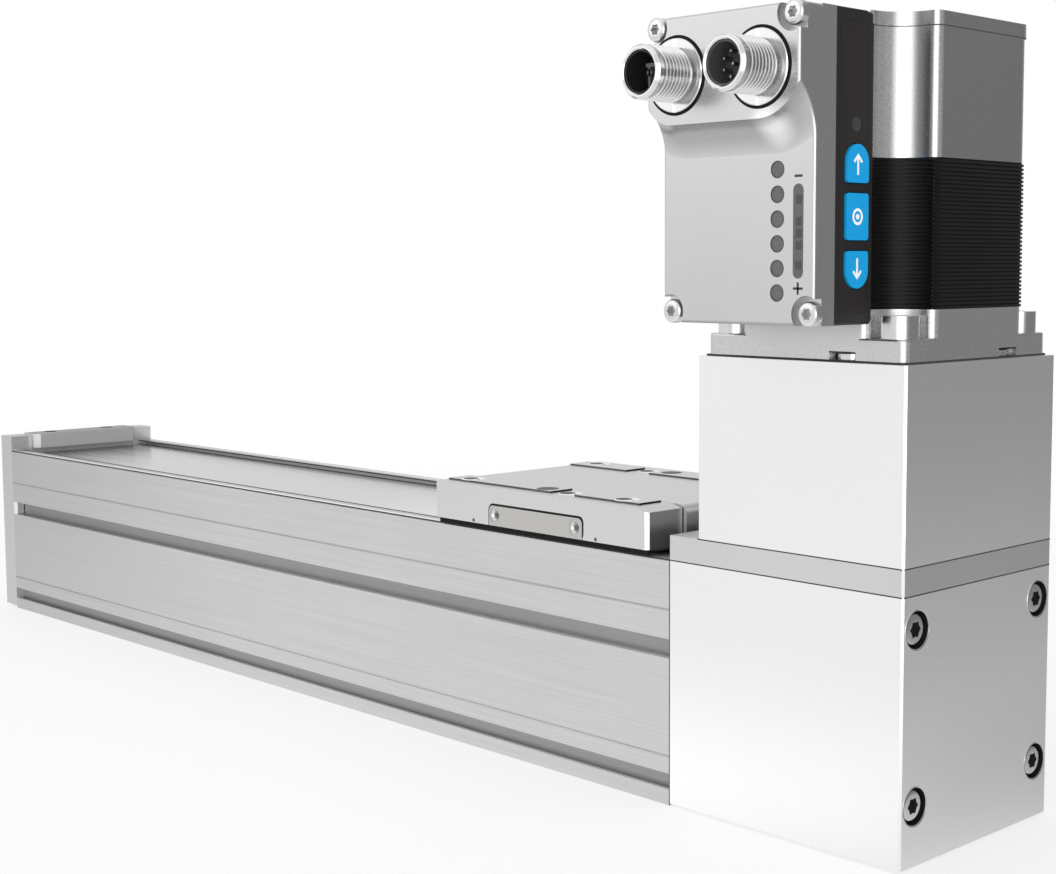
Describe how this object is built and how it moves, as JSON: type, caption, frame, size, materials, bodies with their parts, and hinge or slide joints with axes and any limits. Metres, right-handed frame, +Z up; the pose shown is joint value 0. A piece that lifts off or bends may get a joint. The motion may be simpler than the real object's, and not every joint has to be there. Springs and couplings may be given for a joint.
{
  "type": "belt driven linear axis",
  "caption": "Belt driven linear axis: a carriage runs along a covered aluminium profile, driven by a belt from an upright motor with its own control box.",
  "frame": {"origin": "centre of the profile's bottom mounting face, midway along the profile's length", "axes": "+X along the profile towards the motor end, +Z up from the mounting face, the control box is on the -Y side"},
  "size_m": [0.428, 0.0973, 0.1877],
  "materials": {
    "profile_aluminium": "extruded, fine brushed lines along its length, natural anodised",
    "housing_aluminium": "fine machined, light anodised, satin",
    "plate_aluminium": "fine machined, natural anodised, satin",
    "machined_aluminium": "turned and milled",
    "cast_aluminium": "die cast, fine grain, satin",
    "cover_aluminium": "die cast and bead blasted, satin",
    "strip_steel": "cold rolled stainless strip",
    "bearing_steel": "ground",
    "zinc_steel": "zinc plated, bright",
    "nickel_steel": "nickel plated, satin",
    "black_laminations": "black, satin, finely ridged",
    "copper_winding": "enamelled copper wire",
    "belt_rubber": "toothed inside, matt",
    "spider_rubber": "hard polyurethane",
    "seal_rubber": "matt",
    "black_plastic": "moulded, satin",
    "grey_plastic": "moulded, satin",
    "key_plastic": "blue, moulded, satin gloss",
    "lens_plastic": "smoked, translucent",
    "window_plastic": "smoked, translucent",
    "lamp_plastic": "smoked, translucent",
    "board_laminate": "green solder mask",
    "contact_brass": "gold plated pins"
  },
  "bodies": {
    "root": {"profile": "profile_aluminium", "guide_rail": "bearing_steel", "guide_rail_screws": "zinc_steel", "cover_strip": "strip_steel", "strip_clamps": "housing_aluminium", "strip_clamp_screws": "zinc_steel", "end_cap": "housing_aluminium", "end_screws": "zinc_steel", "idler_bracket": "machined_aluminium", "tension_screws": "zinc_steel", "idler_axle": "bearing_steel", "idler_bearing_inner_rings": "bearing_steel", "toothed_belt": "belt_rubber", "drive_housing": "housing_aluminium", "bearing_outer_rings": "bearing_steel", "adapter_plate": "plate_aluminium", "coupling_housing": "housing_aluminium", "coupling_housing_screws": "zinc_steel", "motor_front_housing": "cast_aluminium", "motor_screws": "zinc_steel", "stator_stack": "black_laminations", "stator_windings": "copper_winding", "motor_rear_housing": "cast_aluminium", "motor_rear_cap": "cast_aluminium", "motor_rear_screws": "zinc_steel", "electronics_base": "black_plastic", "electronics_cover": "cover_aluminium", "electronics_screws": "nickel_steel", "circuit_boards": "board_laminate", "power_connector": "nickel_steel", "power_insert": "black_plastic", "logic_connector": "nickel_steel", "logic_insert": "grey_plastic", "connector_contacts": "contact_brass", "connector_seals": "seal_rubber", "indicator_lenses": "lens_plastic", "level_window": "window_plastic", "status_lamp": "lamp_plastic", "key_switches": "black_plastic"},
    "up_key": {"up_key": "key_plastic"},
    "middle_key": {"middle_key": "key_plastic"},
    "down_key": {"down_key": "key_plastic"},
    "carriage": {"carriage_table": "housing_aluminium", "strip_deflectors": "grey_plastic", "side_covers": "machined_aluminium", "side_cover_screws": "zinc_steel", "carriage_bracket": "machined_aluminium", "carriage_bracket_screws": "zinc_steel", "runner_block": "bearing_steel", "runner_end_caps": "black_plastic", "belt_clamp": "machined_aluminium", "belt_clamp_screws": "zinc_steel"},
    "drive": {"drive_shaft": "bearing_steel", "drive_pulley": "machined_aluminium", "bearing_inner_rings": "bearing_steel", "coupling_hubs": "machined_aluminium", "coupling_spider": "spider_rubber", "motor_rotor": "bearing_steel"},
    "idler": {"idler_pulley": "machined_aluminium", "idler_bearing_outer_rings": "bearing_steel"}
  },
  "joints": [
    {"name": "carriage_slide", "type": "slide", "parent": "root", "child": "carriage", "axis": [1, 0, 0], "range_m": [-0.253, 0.003]},
    {"name": "drive_spin", "type": "hinge", "parent": "root", "child": "drive", "pos_m": [0.214, 0, 0.05], "axis": [0, 0, 1], "range_deg": [-30, 1200]},
    {"name": "idler_spin", "type": "hinge", "parent": "root", "child": "idler", "pos_m": [-0.1565, 0, 0.05], "axis": [0, 0, 1], "range_deg": [-30, 1200]},
    {"name": "up_key_press", "type": "slide", "parent": "root", "child": "up_key", "axis": [-1, 0, 0], "range_m": [0, 0.0004], "stiffness_N_per_m": 600},
    {"name": "middle_key_press", "type": "slide", "parent": "root", "child": "middle_key", "axis": [-1, 0, 0], "range_m": [0, 0.0004], "stiffness_N_per_m": 600},
    {"name": "down_key_press", "type": "slide", "parent": "root", "child": "down_key", "axis": [-1, 0, 0], "range_m": [0, 0.0004], "stiffness_N_per_m": 600}
  ],
  "couplings": [
    {"joint": "drive_spin", "follows": "carriage_slide", "rad_per_m": -80.554},
    {"joint": "idler_spin", "follows": "carriage_slide", "rad_per_m": -80.554}
  ]
}
